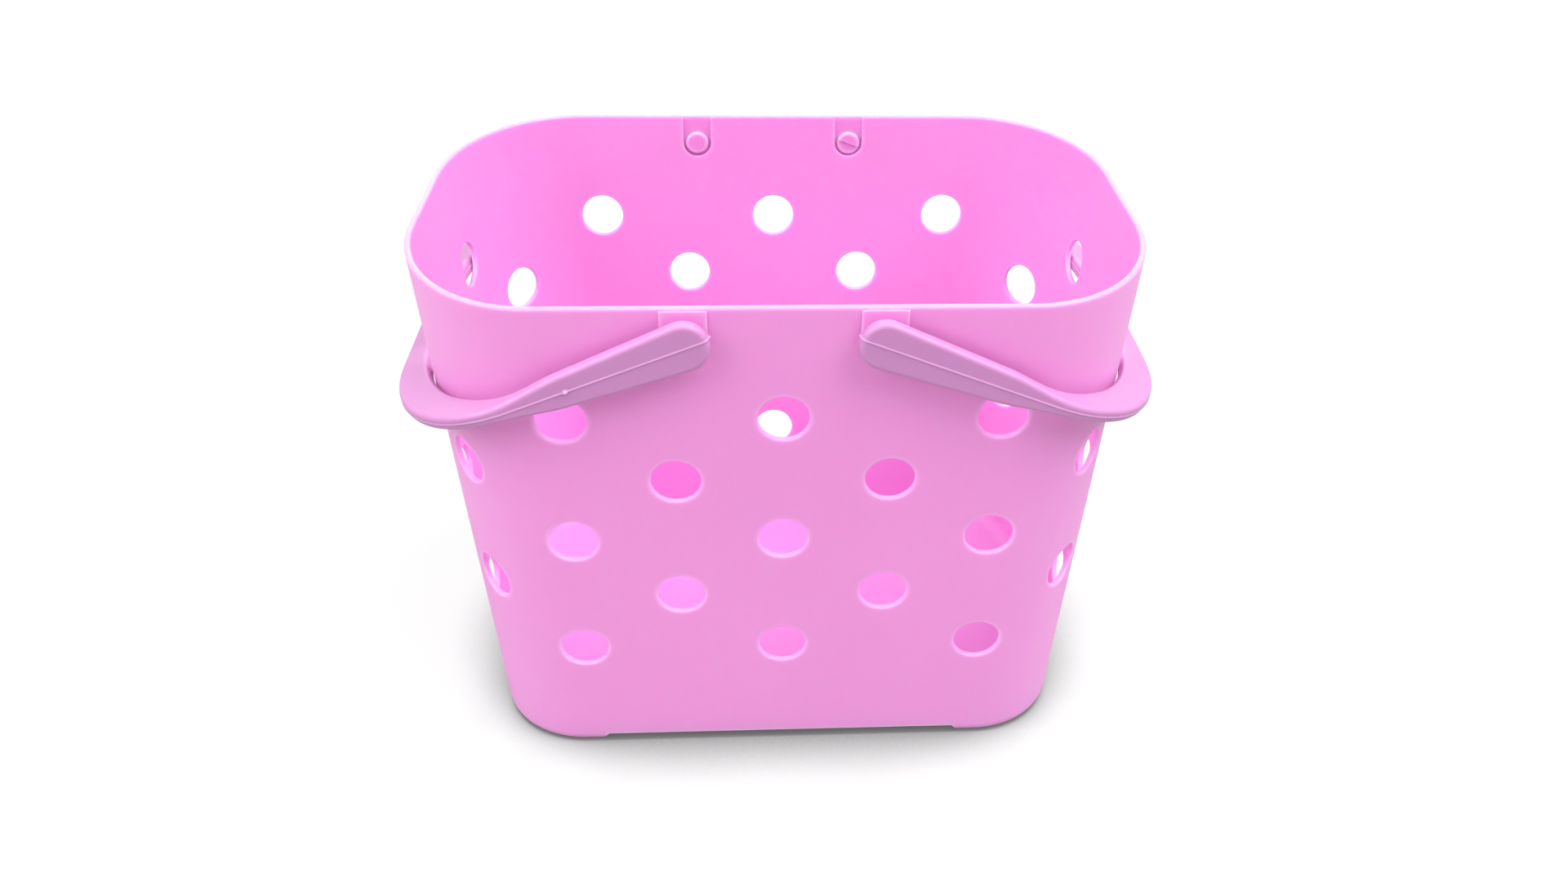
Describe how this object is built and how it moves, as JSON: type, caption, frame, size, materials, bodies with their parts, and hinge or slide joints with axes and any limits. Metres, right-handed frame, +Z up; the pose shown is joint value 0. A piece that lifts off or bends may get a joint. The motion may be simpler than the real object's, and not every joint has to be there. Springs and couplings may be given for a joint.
{
  "type": "shower caddy",
  "caption": "Open tapered plastic tub with staggered round drain holes, corner feet and a pair of swinging bail handles for carrying toiletries into a shower.",
  "frame": {"origin": "on the surface that the feet stand on, below the middle of the tub", "axes": "+Z up out of the tub, +X along the tub's long side towards the right handle, -Y the front"},
  "size_m": [0.2718, 0.1936, 0.2],
  "materials": {
    "tub_plastic": "pink injection-moulded polypropylene, satin",
    "handle_plastic": "pink injection-moulded polypropylene, satin, with a raised parting line"
  },
  "bodies": {
    "tub": {"tub": "tub_plastic"},
    "left_handle": {"left_handle": "handle_plastic"},
    "right_handle": {"right_handle": "handle_plastic"}
  },
  "joints": [
    {"name": "left_handle_swing", "type": "hinge", "parent": "tub", "child": "left_handle", "pos_m": [-0.0322, 0, 0.1886], "axis": [0, 1, 0], "range_deg": [0, 127]},
    {"name": "right_handle_swing", "type": "hinge", "parent": "tub", "child": "right_handle", "pos_m": [0.0322, 0, 0.1886], "axis": [0, -1, 0], "range_deg": [0, 127]}
  ]
}
